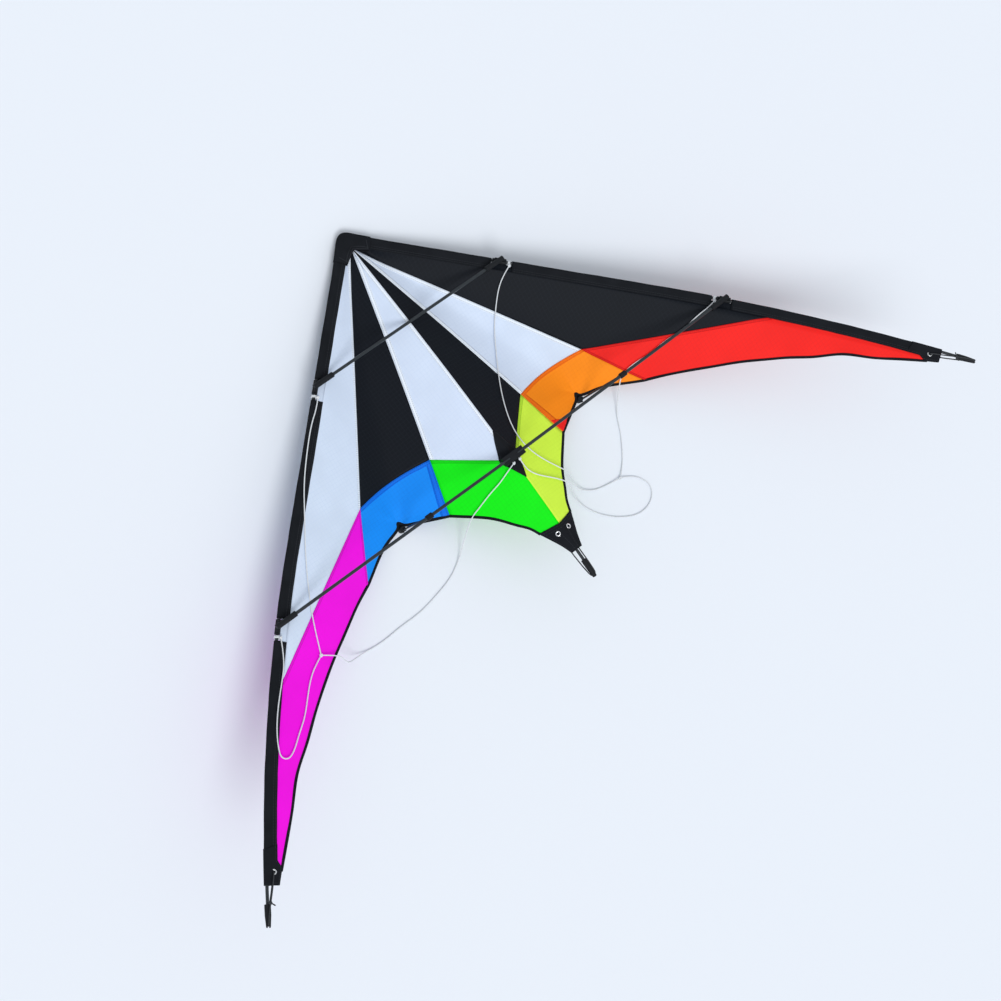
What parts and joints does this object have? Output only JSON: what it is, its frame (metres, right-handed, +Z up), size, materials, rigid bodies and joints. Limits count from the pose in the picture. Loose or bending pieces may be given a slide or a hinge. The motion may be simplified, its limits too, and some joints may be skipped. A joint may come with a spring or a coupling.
{
  "type": "dual-line delta stunt kite",
  "caption": "Dual-line delta stunt kite with panelled cloth sail, fibreglass frame, vinyl fittings, stand-offs and bridle.",
  "frame": {"origin": "centre of the bottom of the bounding box: the kite lies on its back, on its nose cap and its two stand-off feet", "axes": "+X to the right wing tip, +Y to the nose, +Z up, out of the side that faces the flyer"},
  "size_m": [1.2036, 0.613, 0.1616],
  "materials": {
    "white_cloth": "ripstop nylon, slightly translucent",
    "black_cloth": "ripstop nylon",
    "magenta_cloth": "ripstop nylon, slightly translucent",
    "blue_cloth": "ripstop nylon, slightly translucent",
    "green_cloth": "ripstop nylon, slightly translucent",
    "lime_cloth": "ripstop nylon, slightly translucent",
    "orange_cloth": "ripstop nylon, slightly translucent",
    "red_cloth": "ripstop nylon, slightly translucent",
    "black_webbing": "coarse woven polyester",
    "fibreglass_rod": "smooth satin",
    "vinyl_fitting": "matte vinyl",
    "eyelet_metal": "polished",
    "black_cord": "braided elastic cord",
    "kite_line": "braided polyester"
  },
  "bodies": {
    "frame": {"nose_cap": "black_webbing", "spine": "fibreglass_rod", "centre_fitting": "vinyl_fitting", "centre_patch": "black_webbing", "tail_patch": "black_webbing", "tail_eyelets": "eyelet_metal", "tail_nock": "vinyl_fitting", "tail_tension_cord": "black_cord", "centre_bridle_knots": "kite_line", "left_inner_gore": "white_cloth", "left_middle_gore": "black_cloth", "left_outer_gore": "white_cloth", "left_inner_band": "green_cloth", "left_middle_band": "blue_cloth", "left_outer_band": "magenta_cloth", "left_trailing_hem": "black_webbing", "left_leading_edge_sleeve": "black_webbing", "left_tip_patch": "black_webbing", "left_leading_edge_spar": "fibreglass_rod", "left_standoff_socket": "vinyl_fitting", "left_tip_eyelet": "eyelet_metal", "left_tip_nock": "vinyl_fitting", "left_tip_tension_cord": "black_cord", "left_upper_bridle_loop": "kite_line", "left_lower_bridle_loop": "kite_line", "left_upper_outhaul": "kite_line", "left_lower_outhaul": "kite_line", "left_inhaul": "kite_line", "left_tow_knot": "kite_line", "right_inner_gore": "black_cloth", "right_middle_gore": "white_cloth", "right_outer_gore": "black_cloth", "right_inner_band": "lime_cloth", "right_middle_band": "orange_cloth", "right_outer_band": "red_cloth", "right_trailing_hem": "black_webbing", "right_leading_edge_sleeve": "black_webbing", "right_tip_patch": "black_webbing", "right_leading_edge_spar": "fibreglass_rod", "right_upper_connector": "vinyl_fitting", "right_standoff_socket": "vinyl_fitting", "right_tip_eyelet": "eyelet_metal", "right_tip_nock": "vinyl_fitting", "right_tip_tension_cord": "black_cord", "right_upper_bridle_loop": "kite_line", "right_lower_bridle_loop": "kite_line", "right_upper_outhaul": "kite_line", "right_lower_outhaul": "kite_line", "right_inhaul": "kite_line", "right_tow_knot": "kite_line"},
    "right_lower_spreader": {"right_lower_spreader": "fibreglass_rod", "right_lower_connector": "vinyl_fitting"},
    "left_lower_spreader": {"left_lower_spreader": "fibreglass_rod", "left_lower_connector": "vinyl_fitting"},
    "upper_spreader": {"upper_spreader": "fibreglass_rod", "left_upper_connector": "vinyl_fitting"},
    "left_standoff": {"left_standoff": "fibreglass_rod", "left_standoff_clip": "vinyl_fitting"},
    "right_standoff": {"right_standoff": "fibreglass_rod", "right_standoff_clip": "vinyl_fitting"}
  },
  "joints": [
    {"name": "right_lower_spreader_lift", "type": "hinge", "parent": "frame", "child": "right_lower_spreader", "pos_m": [0.37367, -0.0461, 0.07678], "axis": [-0.6979, 0.6963, -0.1676], "range_deg": [0, 90]},
    {"name": "left_lower_spreader_lift", "type": "hinge", "parent": "frame", "child": "left_lower_spreader", "pos_m": [-0.37367, -0.0461, 0.07678], "axis": [-0.6979, -0.6963, 0.1676], "range_deg": [0, 90]},
    {"name": "upper_spreader_lift", "type": "hinge", "parent": "frame", "child": "upper_spreader", "pos_m": [-0.15155, 0.16148, 0.0343], "axis": [-0.7286, -0.672, 0.1324], "range_deg": [0, 90]},
    {"name": "left_standoff_swing", "type": "hinge", "parent": "left_lower_spreader", "child": "left_standoff", "pos_m": [-0.139, -0.04663, 0.07961], "axis": [-0.9998, 0.0084, 0.0193], "range_deg": [0, 90]},
    {"name": "right_standoff_swing", "type": "hinge", "parent": "right_lower_spreader", "child": "right_standoff", "pos_m": [0.188, -0.04621, 0.08056], "axis": [-0.9998, -0.0084, -0.0193], "range_deg": [0, 90]}
  ]
}
